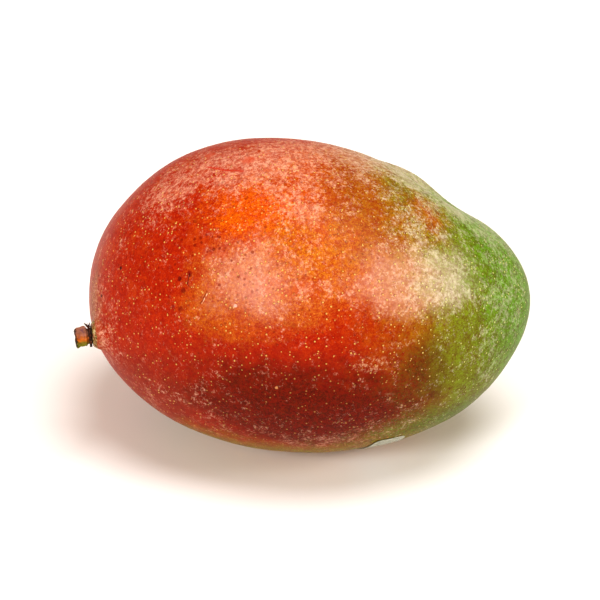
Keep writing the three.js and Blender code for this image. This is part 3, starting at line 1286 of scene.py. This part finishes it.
@dataclass
class BlankLabel:
    """A small blank sticker that follows the skin low on the front, near the tip."""

    form: MangoForm
    shift: np.ndarray
    towards: np.ndarray = field(default_factory=lambda: unit(0.29, -0.6, -0.745))
    half_along: float = 4.7
    half_round: float = 9.4
    turn: float = -8.0
    gap: float = 0.12
    thickness: float = 0.14
    squareness: float = 7.0

    def place(self, share: np.ndarray, angle: np.ndarray, lift: np.ndarray) -> np.ndarray:
        """The place on the skin of a point of the label's rounded oblong |x|^n + |y|^n = share^n.

        Args:
            share: how far from the label's middle to its rim.
            angle: the way from the middle, in radians.
            lift: the height over the skin.

        Returns:
            Places of shape (..., 3), in the shared frame.
        """
        side, up = tangents(self.towards)
        centre = self.form.skin(self.towards)
        steps = (self.form.skin(renewed(self.towards + 0.01 * e)) - centre for e in (side, up))
        side_scale, up_scale = (np.linalg.norm(step) / 0.01 for step in steps)
        c, s = np.cos(angle), np.sin(angle)
        n = self.squareness
        reach = share / (np.abs(c) ** n + np.abs(s) ** n) ** (1 / n)
        a, b = self.half_along * reach * c, self.half_round * reach * s
        t = math.radians(self.turn)
        along = (a * math.cos(t) - b * math.sin(t)) / side_scale
        across = (a * math.sin(t) + b * math.cos(t)) / up_scale
        direction = renewed(self.towards + along[..., None] * side + across[..., None] * up)
        return self.form.skin(direction) + self.form.normal(direction) * lift[..., None] + self.shift

    def build(self) -> bpy.types.Object:
        """Builds the label: its outer face from the middle to the rim, then its inner face back again.

        Returns:
            The finished piece.
        """
        share = np.linspace(0, 1, 22)[1:]
        angle = 2 * math.pi * np.arange(120) / 120
        share, angle = np.meshgrid(np.concatenate([share, share[::-1]]), angle, indexing="ij")
        half = len(share) // 2
        lift = np.full_like(share, self.gap)
        lift[:half] += self.thickness
        zero = np.zeros(1)
        first = self.place(zero, zero, zero + self.gap + self.thickness)[0]
        last = self.place(zero, zero, zero + self.gap)[0]
        piece = closed_mesh("blank_label", first, self.place(share, angle, lift), last)
        return settle(piece, LabelFinish().make(), "label")


def settle(
    piece: bpy.types.Object, material: bpy.types.Material, node: str
) -> bpy.types.Object:
    """Gives a piece its material, and makes it ride on the body and stand for its CAD node.

    Args:
        piece: the finished piece.
        material: its material.
        node: the CAD node it replaces.

    Returns:
        The same piece.
    """
    piece.data.materials.append(material)
    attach(piece, "root")
    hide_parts(node)
    return piece


@dataclass(frozen=True)
class SoftLight:
    """A round soft light: its turn to the right and its height in degrees, its distance and its size."""

    name: str
    turn: float
    elevation: float
    distance: float
    size: float
    power: float
    colour: str = "ffffff"

    def add(self, aim: Vector) -> None:
        """Hangs the light so that it faces the aim.

        Args:
            aim: the point it faces, in metres.
        """
        a, e = math.radians(self.turn), math.radians(self.elevation)
        back = Vector((math.sin(a) * math.cos(e), -math.cos(a) * math.cos(e), math.sin(e)))
        lamp = bpy.data.lights.new(self.name, "AREA")
        lamp.shape, lamp.size, lamp.energy = "DISK", self.size, self.power
        lamp.color = linear(self.colour)[:3]
        holder = bpy.data.objects.new(self.name, lamp)
        holder.location = aim + back * self.distance
        holder.rotation_mode = "QUATERNION"
        holder.rotation_quaternion = back.to_track_quat("Z", "Y")
        bpy.context.scene.collection.objects.link(holder)


@dataclass
class Studio:
    """White table, soft lights, pale surroundings and the camera."""

    aim: Vector = field(default_factory=lambda: Vector((-0.75, 0.0, 41.36)) * MM)
    elevation: float = 30.0
    distance: float = 0.7
    lens: float = 147.0
    floor_half: float = 2.0
    floor_colour: Triple = (0.9, 0.9, 0.9)
    surroundings: float = 0.45
    surroundings_colour: str = "ffdfc0"
    lights: tuple[SoftLight, ...] = (
        SoftLight("overhead softbox", 60, 76, 1.4, 0.9, 14.0),
        SoftLight("left softbox", -36, 27, 1.2, 0.35, 7.2),
        SoftLight("right softbox", 74, 24, 1.2, 0.35, 4.3),
    )

    def build(self) -> None:
        """Builds the table, the lights and the camera."""
        self._table()
        self._surroundings()
        for light in self.lights:
            light.add(self.aim)
        self._camera()

    def _table(self) -> None:
        """Lays the white table just under the fruit."""
        h, z = self.floor_half, -0.05 * MM
        mesh = bpy.data.meshes.new("table")
        mesh.from_pydata([(-h, -h, z), (h, -h, z), (h, h, z), (-h, h, z)], [], [(0, 1, 2, 3)])
        table = bpy.data.objects.new("table", mesh)
        bpy.context.scene.collection.objects.link(table)
        g = Graph("white_table")
        material = g.finish(Base_Color=(*self.floor_colour, 1), Roughness=0.9, Specular_IOR_Level=0.0)
        mesh.materials.append(material)

    def _surroundings(self) -> None:
        """Makes the pale even surroundings."""
        world = bpy.data.worlds.new("surroundings")
        world.use_nodes = True
        ground = world.node_tree.nodes["Background"]
        ground.inputs["Color"].default_value = linear(self.surroundings_colour)
        ground.inputs["Strength"].default_value = self.surroundings
        bpy.context.scene.world = world
        bpy.context.scene.view_settings.view_transform = "Standard"
        bpy.context.scene.view_settings.look = "Medium High Contrast"

    def _camera(self) -> None:
        """Places the camera on the near side, looking down at the fruit."""
        e = math.radians(self.elevation)
        back = Vector((0, -math.cos(e), math.sin(e)))
        lens = bpy.data.cameras.new("camera")
        lens.lens, lens.sensor_width = self.lens, 36.0
        lens.clip_start, lens.clip_end = 0.01, 20.0
        camera = bpy.data.objects.new("camera", lens)
        camera.location = self.aim + back * self.distance
        camera.rotation_mode = "QUATERNION"
        camera.rotation_quaternion = back.to_track_quat("Z", "Y")
        bpy.context.scene.collection.objects.link(camera)
        bpy.context.scene.camera = camera


def main() -> None:
    """Loads the frame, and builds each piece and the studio."""
    logging.basicConfig(level=logging.INFO, format="%(name)s: %(message)s")
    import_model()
    Studio().build()
    form = MangoForm()
    fruit = Fruit(form)
    stem_frame = StemFrame(form.seat() + fruit.shift)
    builders = (fruit, CutStem(stem_frame), DriedCalyx(stem_frame), BlankLabel(form, fruit.shift))
    for builder in builders:
        piece = builder.build()
        log.info("%s: %d faces", piece.name, len(piece.data.polygons))


if __name__ == "__main__":
    main()
